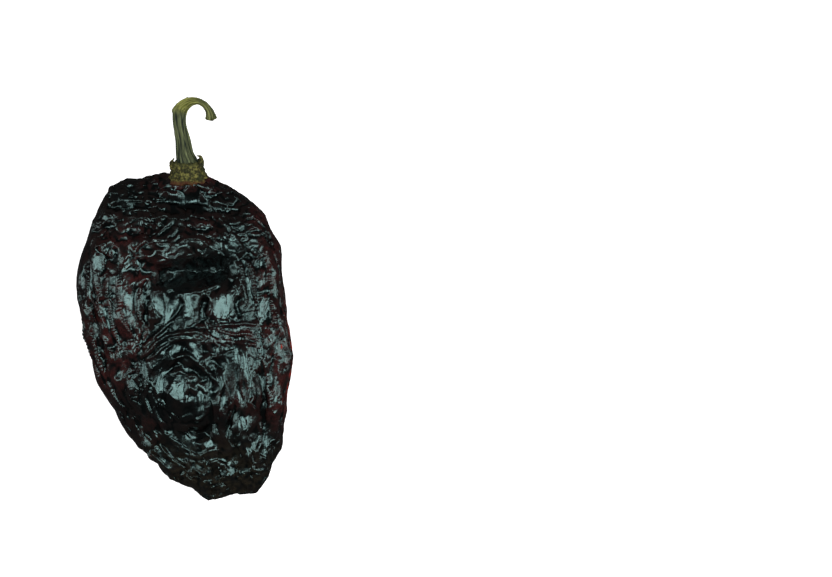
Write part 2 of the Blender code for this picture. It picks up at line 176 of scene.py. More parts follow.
# %% Lay out the crests
# Each crest: its height, its half width, and the x and y of the points on its line.
CRESTS = (
    (0.8, 0.55, ((-13.2, -19.4), (-9.1, -16.1), (-4.7, -12.3), (0.7, -10.6), (5.1, -10.6), (10.5, -12.7))),
    (0.6, 0.5, ((-11.8, -21.1), (-7.4, -17.4), (-3.0, -14.0), (1.7, -12.7), (6.1, -13.7))),
    (0.6, 0.5, ((-14.2, -17.1), (-9.8, -13.7), (-5.7, -10.0), (-2.4, -6.9), (1.7, -4.9))),
    (1.0, 0.6, (
        (-4.7, -22.5), (-1.4, -19.4), (2.4, -18.4), (4.7, -19.8), (8.5, -23.2), (11.8, -26.5), (12.5, -30.6),
    )),
    (0.8, 0.6, (
        (0.3, -26.2), (4.7, -25.5), (6.4, -27.9), (8.5, -31.3), (8.8, -35.3), (6.4, -39.0), (3.4, -40.1),
    )),
    (0.6, 0.45, ((3.7, -28.9), (6.4, -32.3), (7.1, -36.0), (5.1, -38.7))),
    (0.9, 0.6, ((13.2, -23.5), (13.5, -28.6), (12.5, -32.3), (13.2, -36.7), (14.2, -40.7))),
    (0.8, 0.6, ((10.8, -32.3), (11.2, -39.4), (10.8, -44.8), (11.5, -47.5))),
    (0.5, 0.5, ((9.5, -8.6), (14.9, -8.3), (21.3, -7.9), (26.0, -7.9))),
    (0.4, 0.5, ((11.5, -10.0), (16.9, -11.3), (23.7, -11.3))),
    (0.4, 0.5, ((14.9, -14.0), (19.6, -14.4), (25.0, -15.0))),
    (0.4, 0.5, ((6.1, -18.1), (9.5, -19.1), (13.9, -18.1), (18.3, -16.7))),
    (0.7, 0.5, ((24.0, -25.9), (24.7, -31.3), (23.3, -34.3), (25.0, -38.0))),
    (0.6, 0.5, ((19.6, -17.7), (20.6, -22.5), (19.6, -27.2), (21.3, -32.3))),
    (0.9, 0.7, (
        (-30.8, -7.9), (-29.4, -15.0), (-27.0, -23.5), (-24.0, -30.6), (-18.9, -38.0), (-15.2, -43.4),
    )),
    (0.7, 0.6, ((-35.2, -4.2), (-33.1, -14.0), (-29.7, -22.5), (-26.0, -31.3))),
    (0.8, 0.6, ((-31.4, 15.0), (-31.1, 2.5), (-29.4, -1.2), (-26.0, -6.6), (-24.3, -12.0))),
    (0.7, 0.5, ((-20.3, 10.0), (-20.6, 2.5), (-18.9, -6.3), (-15.9, -13.0))),
    (0.7, 0.5, ((-13.9, 12.7), (-13.5, 4.9), (-13.9, -1.9), (-12.5, -8.6))),
    (0.6, 0.5, ((-24.7, 3.2), (-23.7, -3.5), (-22.0, -10.3), (-19.9, -17.1))),
    (0.8, 0.6, ((22.3, 14.0), (24.3, 4.2), (25.0, -3.9))),
    (0.6, 0.5, ((19.6, 12.7), (20.6, 4.9), (22.0, -1.9))),
    (0.8, 0.7, ((27.4, 20.1), (28.7, 10.0), (30.1, -0.2), (31.4, -10.3))),
    (0.7, 0.6, ((26.0, -17.1), (28.1, -24.5), (29.4, -32.3), (28.7, -40.7))),
    (0.5, 0.4, ((-22.0, 34.0), (-16.9, 33.0), (-11.8, 33.3), (-6.8, 34.3), (-1.7, 36.0))),
    (0.5, 0.4, ((-23.7, 31.3), (-17.9, 29.9), (-11.8, 29.9), (-5.1, 30.9), (1.7, 31.9))),
    (0.5, 0.4, ((-22.6, 28.2), (-16.9, 27.2), (-10.1, 27.2), (-3.4, 27.9), (5.1, 27.9))),
    (0.5, 0.45, ((10.1, 33.6), (14.5, 31.3), (17.9, 28.2), (19.6, 24.8))),
    (0.4, 0.4, ((6.8, 28.6), (11.8, 28.9), (16.9, 27.9))),
    (0.6, 0.4, ((-3.0, 29.9), (-7.8, 25.5), (-13.2, 18.1), (-15.9, 14.0))),
    (0.5, 0.4, ((-4.7, 29.2), (-9.5, 24.5), (-14.5, 17.4))),
    (0.5, 0.4, ((-1.4, 28.9), (-5.7, 24.2), (-11.2, 17.4))),
    (0.6, 0.5, ((9.5, 26.9), (11.2, 22.1), (12.5, 17.7))),
    (0.6, 0.5, ((14.5, 26.2), (17.9, 20.8), (20.6, 14.7))),
    (0.8, 0.6, ((-2.4, 0.5), (1.7, 2.2), (6.8, 3.2), (12.5, 4.9), (17.9, 6.9))),
    (0.5, 0.5, ((-8.5, 15.0), (-4.4, 14.0), (-0.3, 12.7))),
    (0.6, 0.5, ((-8.5, -47.5), (-4.4, -52.6), (-0.3, -57.0), (3.7, -61.7))),
    (0.6, 0.5, ((-11.8, -49.2), (-6.8, -54.9), (-1.7, -59.3))),
    (0.5, 0.5, ((3.7, -52.6), (6.8, -51.5), (9.8, -49.9), (12.5, -50.5))),
    (0.5, 0.45, (
        (7.4, -57.6), (9.1, -55.3), (12.5, -54.6), (15.2, -56.3), (15.5, -59.7), (13.9, -62.4), (10.1, -63.0),
        (7.8, -61.0),
    )),
    (0.5, 0.5, ((18.6, -44.8), (21.0, -47.5), (22.0, -51.5), (20.3, -55.3))),
    (0.6, 0.5, ((26.0, -40.7), (26.0, -47.5), (24.7, -54.2), (22.0, -60.3))),
    (0.7, 0.5, ((-7.4, -32.3), (-8.5, -37.3), (-6.4, -42.4), (-4.4, -46.8))),
    (0.5, 0.45, ((-3.0, -28.9), (-4.4, -33.3), (-3.0, -38.0))),
    (0.6, 0.5, ((-11.2, -25.5), (-11.8, -32.3), (-9.5, -39.0))),
    (-1.0, 0.8, ((1.7, -43.4), (5.1, -44.4), (9.1, -43.1), (11.8, -40.1))),
    (-0.5, 0.5, ((6.8, -13.7), (7.8, -17.7), (6.4, -21.1))),
    (-1.3, 1.0, ((8.4, 1.0), (7.6, -4.0), (7.9, -8.5))),
    (-0.9, 0.7, ((0.4, 0.5), (-0.6, -3.5), (-2.6, -7.0))),
    (-0.9, 0.7, ((-10.6, 1.5), (-11.4, -4.0), (-10.8, -9.0))),
    (-0.8, 0.7, ((19.6, 1.5), (19.0, -2.5), (20.0, -6.0))),
)


def crest_height(points, widen):
    """Height that the crests give to each point. widen is added to each half width."""
    total = np.zeros(len(points))
    points = points.copy()
    for axis in range(2):
        points[:, axis] += 0.8 * noise_over(points, 4.0, 20.0 + 7 * axis)
    for height, half_width, stops in CRESTS:
        line = curve_through(stops, 8)
        reach = 3 * (half_width + widen)
        low, high = line.min(axis=0) - reach, line.max(axis=0) + reach
        near = np.flatnonzero(((points[:, :2] > low) & (points[:, :2] < high)).all(axis=1))
        away = np.linalg.norm(points[near, None, :2] - line[None], axis=2)
        along = away.argmin(axis=1) / (len(line) - 1)
        fade = ramp(along, -0.02, 0.15) * ramp(1 - along, -0.02, 0.15)
        total[near] += height * fade * np.exp(-((away.min(axis=1) / (half_width + widen)) ** 2))
    return total


print("crests:", len(CRESTS))

# %% [markdown]
# ## A net of springs
#
# Cloth simulation could crumple the skin, but it can't be told which way to crumple in which place. So
# the skin is treated as a net of springs by hand. Each point is tied to its neighbours along edges and
# across faces. A spring that is asked to be longer than its place allows can only go up or down, and the
# skin buckles, as the real one does. Three things work against it: bending, which sets how sharp a crease
# may be, the flesh beneath, which holds each point near its place, and the table, which nothing passes.

# %% Build the net
class SkinNet:
    """The neighbours of each point of a mesh, and the place and normal that it starts from."""

    def __init__(self, piece):
        mesh = piece.data
        self.rest = places(piece).astype(np.float32)
        count = len(self.rest)
        edges = read(mesh.edges, "vertices", np.int64)
        corners = read(mesh.loops, "vertex_index", np.int64)
        four = read(mesh.polygons, "loop_start", np.int64)[read(mesh.polygons, "loop_total", np.int64) == 4]
        across = np.concatenate([corners[four[:, None] + (0, 2)], corners[four[:, None] + (1, 3)]])
        pairs = np.concatenate([edges, across])
        pull = np.repeat([1.0, 0.5], [len(edges), len(across)])
        bend = np.repeat([1.0, 0.25], [len(edges), len(across)])
        start, end = np.concatenate([pairs[:, 0], pairs[:, 1]]), np.concatenate([pairs[:, 1], pairs[:, 0]])
        order = np.argsort(start, kind="stable")
        start, end = start[order], end[order]
        column = np.arange(len(start)) - np.searchsorted(start, np.arange(count))[start]
        shape = (count, column.max() + 1)
        self.table = np.tile(np.arange(count)[:, None], (1, shape[1]))
        self.pull = np.zeros(shape, np.float32)
        self.bend = np.zeros(shape, np.float32)
        self.table[start, column] = end
        self.pull[start, column] = np.tile(pull, 2)[order]
        self.bend[start, column] = np.tile(bend, 2)[order]
        self.bend /= self.bend.sum(axis=1, keepdims=True)
        self.normal = read(mesh.vertex_normals, "vector").astype(np.float32)
        length = np.linalg.norm(self.rest[edges[:, 0]] - self.rest[edges[:, 1]], axis=1)
        self.step = float(np.median(length))

    def curl(self, field):
        """How far each value lies below the mean of its neighbours."""
        return (field[self.table] * self.bend).sum(axis=1) - field

    def smooth(self, field, rounds):
        """The field after each value has moved to its neighbours' mean that many times."""
        for _ in range(rounds):
            field = field + self.curl(field)
        return field

    def crumple(self, growth, start, rounds, bending, flesh, drift, carry):
        """Lets the net buckle, from its rest moved by start, and returns where its points come to lie.

        growth is the share by which each spring wants to grow. bending and flesh hold the skin straight and
        down, drift holds it from sliding sideways, and carry is the share of its speed that a point keeps.
        """
        rest, table = self.rest, self.table
        length = np.linalg.norm(rest[table] - rest[:, None], axis=2) + 1e-6
        pull = self.pull * (1.6 / self.pull.sum(axis=1, keepdims=True))
        place = (rest + start).astype(np.float32)
        speed = np.zeros_like(place)
        for turn in range(rounds):
            wanted = length * (1 + growth * min(1, 2 * (turn + 1) / rounds))
            gap = place[table] - place[:, None]
            reach = np.sqrt(np.einsum("nki,nki->nk", gap, gap)) + 1e-6
            push = np.einsum("nk,nki->ni", pull * (1 - wanted / reach), gap)
            moved = place - rest
            lift = np.einsum("ni,ni->n", moved, self.normal)
            hold = bending * self.curl(self.curl(lift)) + flesh * lift
            push -= hold[:, None] * self.normal + drift * (moved - lift[:, None] * self.normal)
            speed = carry * speed + 0.7 * push
            place = place + speed
            place[:, 2] = np.maximum(place[:, 2], 0)
        moved = np.linalg.norm(place - rest, axis=1)
        print(f"  {rounds} rounds moved the points {moved.mean():.2f} mm, {moved.max():.2f} at most")
        return place.astype(float)


print("the net is ready for", len(pod.data.edges), "edges")

# %% [markdown]
# ## Hollows and flat patches
#
# Two things break the crumpling up. The skin sank into a deep hollow in its upper half, which swallows
# the light. And in places it dried flat on the stiff flesh beneath. These patches are what gleams most,
# because all of a patch faces the same way. Each one below was measured, and has a centre, two half
# sizes, a turn in degrees, and how far it leans off the direction that mirrors the lamp overhead into the
# camera. The bright ones are nearly on it and the dark ones well off it. The skin is laid on a plane there.

# %% Sink the hollow, lay the patches flat
# Each hollow: its x and y, its half sizes across, towards the stem and towards the tip, and its depth.
HOLLOWS = (
    (5.0, 9.4, 7.5, 5.5, 7.5, 3.6), (13.0, 10.2, 5.0, 5.0, 7.0, 3.0), (-4.0, 7.4, 4.5, 4.5, 5.0, 2.8),
    (6.0, -45.5, 6.0, 6.5, 2.5, 1.8), (6.2, -31.5, 2.6, 4.5, 4.5, 0.7), (13.5, -21.0, 4.0, 3.0, 3.0, 0.8),
    (-17.0, -42.0, 3.0, 8.0, 8.0, 0.6), (0.4, -26.0, 5.0, 2.0, 2.0, 0.6), (-12.0, 9.5, 4.5, 5.0, 3.0, 0.9),
)
DEEP_HOLLOW = HOLLOWS[:3]
SHOULDER_DENT_Y, SHOULDER_DENT_DEPTH = 32, 3.0
EYE, LAMP = (78, 4, 660), (150, 20, 1100)
# Each flat patch: its x and y, its two half sizes, its turn, and its lean off the mirror direction.
BRIGHT_FLATS = (
    (13.8, -2.3, 4.2, 3.8, 20, 0, 0), (-7.5, -1.3, 2.3, 5.1, 8, 0.02, 0),
    (-2.9, -3.9, 1.7, 4.9, -28, 0.03, 0.02), (3, -2.9, 2.2, 4, -20, -0.03, 0.03),
    (-5.1, 18.1, 1.8, 2.6, 25, 0.01, 0.03), (-5.6, 13.2, 3.1, 1.1, 8, 0, 0.05),
    (17, 19.2, 1.7, 2.5, 0, -0.02, 0), (16.5, 15.2, 1.4, 0.6, 0, 0, 0), (3.6, 19.9, 1.7, 1, 10, 0.02, 0.04),
    (0.1, 19, 1.6, 0.8, 25, 0, 0.03), (3.9, 15.7, 0.8, 1.9, -10, 0.04, 0),
    (-15.3, 5.5, 2.2, 0.8, 38, 0, 0.02), (-17.2, -0.2, 1.6, 3, 5, 0.02, 0),
    (-24.7, 3.6, 1.1, 3, -12, 0.03, 0), (19.2, 10.1, 1.2, 2.3, 0, 0, 0), (22.6, 5.5, 1, 3.1, 0, 0.03, 0),
    (29.7, 2.8, 3, 1.9, 0, 0.02, 0.02), (32.8, -1.3, 0.8, 3.3, 3, 0, 0), (27.5, -2.6, 2.2, 2.3, 0, 0.04, 0),
    (31, 13.8, 0.7, 2.3, 5, 0.02, 0), (28.9, 21.6, 0.7, 1.7, 10, 0, 0), (-30.3, 5.8, 0.7, 6.2, -2, 0.02, 0),
    (-2.4, 35.8, 3.3, 0.7, -5, 0, -0.02), (-9.9, 32.6, 2.8, 0.6, -8, 0, -0.04),
    (-24.2, 15.2, 0.8, 1.7, -15, 0, 0.03), (-7, 18.4, 1.2, 1.4, 0, 0.05, 0.06),
    (10.6, 21.1, 0.6, 1.8, -10, 0.02, 0), (24.6, 11.7, 0.5, 1.8, 0, 0.02, 0.02),
    (-4.5, 24.1, 0.6, 1.8, -15, 0, 0.03), (-8.8, 23.5, 2.2, 0.5, 45, 0, 0),
    (-19.1, 17.6, 1.1, 0.5, 30, 0, 0), (3.6, -14.2, 1.6, 3, 30, 0, 0), (-2.1, -17.1, 3, 1.6, 25, 0, 0.05),
    (13, -16.6, 1.6, 1.3, 20, 0, 0), (-6.7, -28.7, 1.8, 3.2, -6, 0.02, 0.02),
    (-1, -30.6, 2.2, 3.1, 22, 0, 0), (7.9, -29.2, 1.6, 1.4, -20, 0, 0), (1.5, -41.9, 3.9, 1.1, 5, 0, 0.03),
    (-4.5, -44.3, 2.5, 0.9, 35, 0, 0.02), (8.7, -47.7, 3, 1.6, 12, 0, 0),
    (11.7, -44.1, 0.9, 2.8, 0, 0.03, 0), (20.9, -40.8, 3.9, 2.7, 32, 0.02, 0.04),
    (19.7, -31.9, 1.8, 3.9, -8, 0, 0), (20.9, -21.4, 1.3, 3.9, 8, 0.02, 0),
    (25.1, -21.2, 1.1, 2, 5, 0.04, 0.02), (22.8, -49.5, 2.3, 1.9, 0, 0, 0),
    (20.5, -53.1, 1.4, 0.6, 0, 0, 0), (22, -55.4, 2.3, 0.5, 8, 0, 0.03), (9.8, -55.9, 2.5, 0.8, 10, 0, 0),
    (10.8, -60.5, 1.7, 1.6, 0, 0, 0.03), (13.3, -62.4, 1.3, 0.8, 20, 0.03, 0),
    (-8.9, -44.9, 1.2, 3.1, -12, 0, 0), (-11.2, -34.6, 0.8, 3.1, 4, 0.02, 0),
    (-18.5, -40, 0.9, 1.9, 20, 0, 0.02), (-29.7, -13.3, 0.8, 5.1, 6, 0, 0),
    (27.8, -46.8, 0.8, 1.9, 12, 0, 0), (23.3, -28.2, 0.7, 2.4, 0, 0, 0.02),
    (27.3, -28.4, 0.6, 1.9, 0, 0.03, 0), (-3.9, -59.8, 3.4, 0.5, -32, 0, 0),
    (-7.2, -53.2, 3.2, 1.2, -25, 0.03, 0.05), (-20.4, -18.7, 0.7, 2.2, 0, 0, 0.03),
    (30.2, -34.4, 0.8, 2.7, -10, 0.03, 0), (-17.7, -25.7, 1.6, 0.8, 20, 0, 0.04),
)
DARK_FLATS = (
    (7.3, 24.3, 2.8, 1.8, 0, 0.1, -0.34), (-10.5, 10, 2.8, 1.8, 0, 0, -0.36),
    (21.1, 19.8, 0.8, 3.9, 0, -0.34, 0), (6.5, -16, 1.3, 1.3, 0, 0.1, -0.32),
    (16.5, -25.2, 2.2, 5, 0, 0.34, -0.1), (5.4, -45.3, 3.2, 1.4, 0, 0, -0.36),
    (17, -46.8, 2.8, 1.6, 0, 0.1, -0.34), (-22.6, -23.6, 2.5, 2.8, 0, -0.1, -0.26),
    (-23.7, -11.5, 2.3, 1.9, 0, -0.2, -0.2), (4.1, -21.4, 3.4, 1.8, 0, 0, -0.34),
    (12.7, -31.1, 0.6, 3.2, 0, -0.3, 0), (16.5, -57, 1.3, 3.2, 0, 0.3, -0.1),
    (8.9, -52.7, 3, 1.1, 0, 0, -0.34), (33.2, -40.8, 1.3, 3.2, 0, 0.34, 0),
    (-12.1, -23.6, 0.9, 3.8, 0, -0.34, 0),
)
FLATS = BRIGHT_FLATS + DARK_FLATS


def hollow_depth(points, table):
    """How deep the hollows are at each point. Each is a sharp valley, so little of it faces the light."""
    total = np.zeros(len(points))
    for x, y, half_x, half_up, half_down, depth in table:
        ahead = points[:, 1] - y
        slope = np.clip(1 - ahead / half_up, 0, 1) ** 1.3
        wall = np.clip(1 + ahead / half_down, 0, 1) ** 1.3
        side = np.exp(-np.abs((points[:, 0] - x) / half_x) ** 2.5)
        total += (depth * side * np.where(ahead > 0, slope, wall)) ** 3
    return np.cbrt(total)


def in_deep_hollow(points):
    """How much each point belongs to the deep hollow, from 0 to 1."""
    return np.clip(hollow_depth(points, DEEP_HOLLOW) / 3, 0, 1)


def in_patch(points, patch):
    """How much each point belongs to one flat patch, from 0 to 1."""
    x, y, half_x, half_y, turn = patch[:5]
    cos, sin = math.cos(math.radians(turn)), math.sin(math.radians(turn))
    right, ahead = points[:, 0] - x, points[:, 1] - y
    u, v = (cos * right + sin * ahead) / half_x, (cos * ahead - sin * right) / half_y
    return np.exp(-((u * u + v * v) ** 2))


def in_flats(points):
    """How much each point belongs to any flat patch, from 0 to 1."""
    return np.max([in_patch(points, patch) for patch in FLATS], axis=0)


def lay_flat(points, up, strength):
    """Points moved up or down towards the plane of the patch that they lie in."""
    points = points.copy()
    up = up * (points[:, 2] > 8)
    for patch in FLATS:
        x, y, *_, off_x, off_y = patch
        lean_x = ((EYE[0] - x) / EYE[2] + (LAMP[0] - x) / LAMP[2]) / 2 + off_x
        lean_y = ((EYE[1] - y) / EYE[2] + (LAMP[1] - y) / LAMP[2]) / 2 + off_y
        share = in_patch(points, patch) * up
        height = np.average(points[:, 2], weights=share + 1e-12)
        plane = height - lean_x * (points[:, 0] - x) - lean_y * (points[:, 1] - y)
        points[:, 2] += strength * share * (plane - points[:, 2])
    return points


net = SkinNet(pod)
upper = ramp(net.normal[:, 2], 0.1, 0.5)
points = net.rest.astype(float)
points[:, 2] -= upper * hollow_depth(points, HOLLOWS)
dent = np.exp(-(((points[:, 1] - SHOULDER_DENT_Y) / 7.5) ** 2) - ((points[:, 0] - 1) / 20) ** 2)
points[:, 2] -= SHOULDER_DENT_DEPTH * upper * dent
move_to(pod, lay_flat(points, upper, strength=0.7))
print("hollows:", len(HOLLOWS), "flat patches:", len(FLATS))

# %% [markdown]
# ## Which way the skin is pushed together
#
# A fold runs across the push that made it. On the flanks the pod collapsed from broad to flat, so the
# skin there is pushed down the side and its folds run lengthwise. On the shoulder it is pushed towards
# the stem and its folds run crosswise, and on the boss they run in rings. Each place below has a centre,
# a size, the direction of the push in degrees and a strength. They are added up as small matrices,
# because a push and its opposite are the same thing to a fold, and matrices know that.

# %% Lay out the pushes
# Each place: its x and y, its size, the direction of the push in degrees, and its strength.
PUSHES = (
    (-10, 26, 16, 90, 1.6), (8, 26, 16, 90, 1.6), (-24, 28, 12, 80, 1.0), (22, 26, 12, 100, 1.0),
    (-14, 15, 7, 45, 1.4), (-28, 2, 12, 0, 2.0), (-24, -14, 12, 5, 2.0), (29, 2, 11, 0, 2.0),
    (-16, 0, 9, 0, 2.0), (22, 4, 7, 0, 1.8), (8, 19, 5, 60, 1.0), (-4, 12, 5, 120, 1.0),
    (22, -10, 6, 90, 1.4), (28, -12, 6, 10, 1.2), (6, -9, 5, 60, 1.0), (-8, -15, 8, 125, 2.0),
    (10, -20, 7, 45, 1.2), (18, -33, 9, 0, 2.4), (28, -28, 9, 0, 2.4), (13, -22, 6, 10, 1.6),
    (-17, -34, 9, 15, 2.0), (-8, -50, 9, 50, 1.6), (6, -50, 6, 90, 1.0), (16, -56, 8, 20, 1.2),
)
BOSS_X, BOSS_Y, BOSS_SIZE = 0.4, -30.6, 11.0
NECK_X, NECK_Y, NECK_SIZE = 1.3, 43.0, 9.0


def push_matrices(net, even, aimed, down_side):
    """A 3 by 3 matrix for each point: how much the skin grows in each direction.

    even is the share in all directions, aimed the share along the pushes on the top, and down_side the
    share down the steep sides.
    """
    points, normal = net.rest, net.normal
    aim = np.zeros((len(points), 3, 3))
    aim[:, 0, 0] = 0.35
    weight = np.full(len(points), 0.35)
    stray = 1.4 * noise_over(points, 7.0, 12.5) * (1 - 0.65 * ramp(np.abs(points[:, 0]), 10, 22))
    for x, y, size, degrees, strength in PUSHES:
        share = strength * np.exp(-((points[:, 0] - x) ** 2 + (points[:, 1] - y) ** 2) / size**2)
        angle = math.radians(degrees) + stray
        way = np.stack([np.cos(angle), np.sin(angle), 0 * angle], axis=1)
        aim += share[:, None, None] * np.einsum("ni,nj->nij", way, way)
        weight += share
    for x, y, size, turned in ((BOSS_X, BOSS_Y, BOSS_SIZE, False), (NECK_X, NECK_Y, NECK_SIZE, True)):
        out = points * (1, 1, 0) - (x, y, 0)
        away = np.linalg.norm(out, axis=1)
        way = unit(np.cross(out, (0, 0, 1)) if turned else out)
        share = 2.0 * np.exp(-((away / size) ** 4)) * ramp(away, 3, 7)
        aim += share[:, None, None] * np.einsum("ni,nj->nij", way, way)
        weight += share
    aim /= weight[:, None, None]
    level = unit(np.cross((0, 0, 1), normal))
    down = unit(np.cross(normal, level))
    steep = (1 - ramp(np.abs(normal[:, 2]), 0.45, 0.85))[:, None, None]
    ends = (ramp(-points[:, 1], 38, 55) + 0.6 * ramp(points[:, 1], 18, 34))[:, None, None]
    grow = even * (1 - 0.75 * steep) * np.eye(3) + aimed * (1 - steep) * aim
    grow += down_side * steep * np.einsum("ni,nj->nij", down, down)
    return grow + 0.7 * down_side * steep * ends * np.einsum("ni,nj->nij", level, level)


def spring_growth(net, matrices, amount):
    """The growth of each spring, from the matrices at its two ends and an amount for each point."""
    grown = (matrices * amount[:, None, None]).astype(np.float32)
    way = net.rest[net.table] - net.rest[:, None]
    way /= np.linalg.norm(way, axis=2, keepdims=True) + 1e-6
    here = np.einsum("nki,nij,nkj->nk", way, grown, way)
    there = np.einsum("nki,nkij,nkj->nk", way, grown[net.table], way)
    return 0.5 * (here + there)


def freedom(points):
    """How free each point is to crumple: not beside the calyx, and less in some places than others."""
    beside_calyx = ramp(np.hypot(points[:, 0] - NECK_X, points[:, 1] - NECK_Y), 2.5, 7)
    patches = 0.35 + 1.3 * np.clip(0.5 + 1.3 * noise_over(points, 9.0, 4.4), 0, 1)
    boss_top = np.exp(-((points[:, 0] - BOSS_X) ** 2 + (points[:, 1] - BOSS_Y) ** 2) / 6**2)
    return beside_calyx * patches * (1 - 0.85 * in_flats(points)) * (1 - 0.75 * boss_top)


print("places of the pushes:", len(PUSHES))

# %% [markdown]
# ## Flat facets
#
# Springs buckle into soft waves, but dry skin has flat facets between sharp creases, like crumpled foil.
# So seeds are scattered over the skin, and each face joins the seed that is nearest, which makes a
# patchwork. Distance counts for more along the push, so the facets are long across it. All the faces of a
# facet take on one direction, their own mean with a small lean of its own. The points are then moved a
# little at a time until the faces agree with those directions.

# %% Cut facets
def gather(values, index, count):
    """The sum of the vectors that share an index."""
    return np.stack([np.bincount(index, values[:, axis], count) for axis in range(3)], axis=1)


def cut_facets(piece, size, lean, seed, strength):
    """Gathers the skin into flat facets, size mm apart, that lean by about lean radians.

    The strength is the share of the way that the points are moved, and none goes past half of size.
    """
    mesh = piece.data
    random = np.random.default_rng(seed)
    totals = read(mesh.polygons, "loop_total", np.int64)
    corners = read(mesh.loops, "vertex_index", np.int64)
    facing = read(mesh.polygons, "normal")
    owner = np.repeat(np.arange(len(totals)), totals)
    first = points = places(piece)
    middle = gather(points[corners], owner, len(totals)) / totals[:, None]
    boxes = np.floor(middle / size + random.uniform(0, 1, 3)).astype(int)
    shuffled = random.permutation(len(middle))
    _, chosen = np.unique(boxes[shuffled], axis=0, return_index=True)
    seeds = SimpleNamespace(rest=middle[shuffled[chosen]], normal=facing[shuffled[chosen]])
    pushes = push_matrices(seeds, even=0.0, aimed=1.0, down_side=0.9)
    tree = KDTree(len(seeds.rest))
    for number, place in enumerate(seeds.rest):
        tree.insert(place, number)
    tree.balance()
    noise.seed_set(seed)
    bent = middle + 0.35 * size * np.array([noise.noise_vector(Vector(p)) for p in middle * (1.4 / size)])
    near = np.array([[found[1] for found in tree.find_n(place, 9)] for place in bent])
    gap = seeds.rest[near] - bent[:, None]
    along_push = np.einsum("nki,nkij,nkj->nk", gap, pushes[near], gap)
    far = np.einsum("nki,nki->nk", gap, gap) + 9 * along_push
    facet = near[np.arange(len(near)), far.argmin(axis=1)]
    wild = random.normal(0, 1, (len(seeds.rest), 3))
    wild = lean * (0.45 * wild + np.einsum("nij,nj->ni", pushes, wild))
    loose = freedom(middle) * (0.45 + 0.55 * ramp(facing[:, 2], 0.1, 0.5))
    loose *= 1 - 0.7 * in_deep_hollow(middle)
    facing = unit(unit(gather(facing, facet, len(seeds.rest)))[facet] + wild[facet] * loose[:, None])
    touching = np.bincount(corners, minlength=len(points))[:, None]
    for _ in range(18):
        middle = gather(points[corners], owner, len(totals)) / totals[:, None]
        short = np.einsum("ni,ni->n", middle[owner] - points[corners], facing[owner])
        points = points + gather(facing[owner] * short[:, None], corners, len(points)) / touching
    step = strength * ramp(first[:, 2], 0.5, 6.0)[:, None] * (points - first)
    moved = np.linalg.norm(step, axis=1)
    farthest = 0.5 * size
    move_to(piece, first + step / np.maximum(1, moved / farthest)[:, None])
    moved = np.minimum(moved, farthest)
    print(f"  {len(seeds.rest)} facets moved the points {moved.mean():.2f} mm, {moved.max():.2f} at most")

# %% [markdown]
# ## First round: folds
#
# The coarse net makes the folds, 5 to 8 mm apart. Bending and flesh together set that distance: a stiffer
# skin folds wider, and firmer flesh folds it narrower. The shoulder is nearly left out, because its folds
# are finer and come in the second round. A little noise goes in at the start, for the same reason that a
# pencil snaps at a flaw: without one, a buckle doesn't know where to begin.

# %% Fold the skin
def raise_crests(piece, widen, share):
    """Adds the crests to the shape of the piece, and returns how near each point is to a crest line."""
    net = SkinNet(piece)
    upper = ramp(net.normal[:, 2], 0.1, 0.45) * (0.7 + 0.9 * noise_over(net.rest, 5.0, 31.0))
    height = upper * crest_height(net.rest, widen)
    move_to(piece, net.rest + net.normal * (share * height)[:, None])
    return np.clip(np.abs(height) / 0.5, 0, 1)


near_crest = raise_crests(pod, widen=0.5, share=0.7)
net = SkinNet(pod)
shoulder = ramp(net.rest[:, 1], 16, 22)
upper = ramp(net.normal[:, 2], 0.0, 0.4)
sunk = in_deep_hollow(net.rest)
amount = freedom(net.rest) * (1 - 0.8 * shoulder) * (1 - 0.7 * near_crest) * (1 - 0.85 * sunk)
growth = spring_growth(net, push_matrices(net, even=0.06, aimed=0.36, down_side=0.16), amount)
start = net.normal * (0.4 * noise_over(net.rest, 2.5, 3.3))[:, None]
move_to(pod, net.crumple(growth, start, rounds=420, bending=0.04, flesh=0.016, drift=0.006, carry=0.92))
cut_facets(pod, size=4.5, lean=0.22, seed=5, strength=0.85)
move_to(pod, lay_flat(places(pod), upper, strength=0.6))

# %% [markdown]
# ## Second round: creases
#
# The faces that can be seen from above are cut in three along each side, and the net has a point every
# third of a millimetre there. The same springs now make the creases, 2 to 3 mm apart, inside the folds.
# The shoulder gets most of them. The hollow gets short flutes down its walls, so that its bottom doesn't
# shine as one straight line. Facets and crests come last, because springs would round them off.

# %% Crease the skin
FLUTE_WIDTH, FLUTE_HEIGHT = 2.8, 1.3
only(pod)
bpy.ops.object.mode_set(mode="EDIT")
bpy.ops.mesh.select_mode(type="FACE")
bpy.ops.mesh.select_all(action="DESELECT")
bpy.ops.object.mode_set(mode="OBJECT")
for face in pod.data.polygons:
    face.select = face.normal.z > -0.12
bpy.ops.object.mode_set(mode="EDIT")
bpy.ops.mesh.subdivide(number_cuts=2, smoothness=1.0, ngon=False)
bpy.ops.object.mode_set(mode="OBJECT")
near_crest = raise_crests(pod, widen=0.0, share=0.55)
net = SkinNet(pod)
upper = ramp(net.normal[:, 2], 0.1, 0.5)
points = lay_flat(net.rest.astype(float), upper, strength=0.5)
flutes = np.abs(((points[:, 0] + 1.5 * noise_over(points, 3.0, 5.5)) / FLUTE_WIDTH) % 2 - 1)
points[:, 2] += FLUTE_HEIGHT * upper * in_deep_hollow(points) * (flutes - 0.5)
move_to(pod, points)
net = SkinNet(pod)
print("fine net:", len(pod.data.polygons), "faces, a point every", round(net.step, 2), "mm")
shoulder = ramp(net.rest[:, 1], 16, 22)
seen = ramp(net.normal[:, 2], -0.6, 0.2)
tip = ramp(-net.rest[:, 1], 42, 55)
sunk = in_deep_hollow(net.rest)
amount = (0.3 + 0.7 * freedom(net.rest)) * (1 + 1.2 * shoulder + 0.6 * tip) * seen
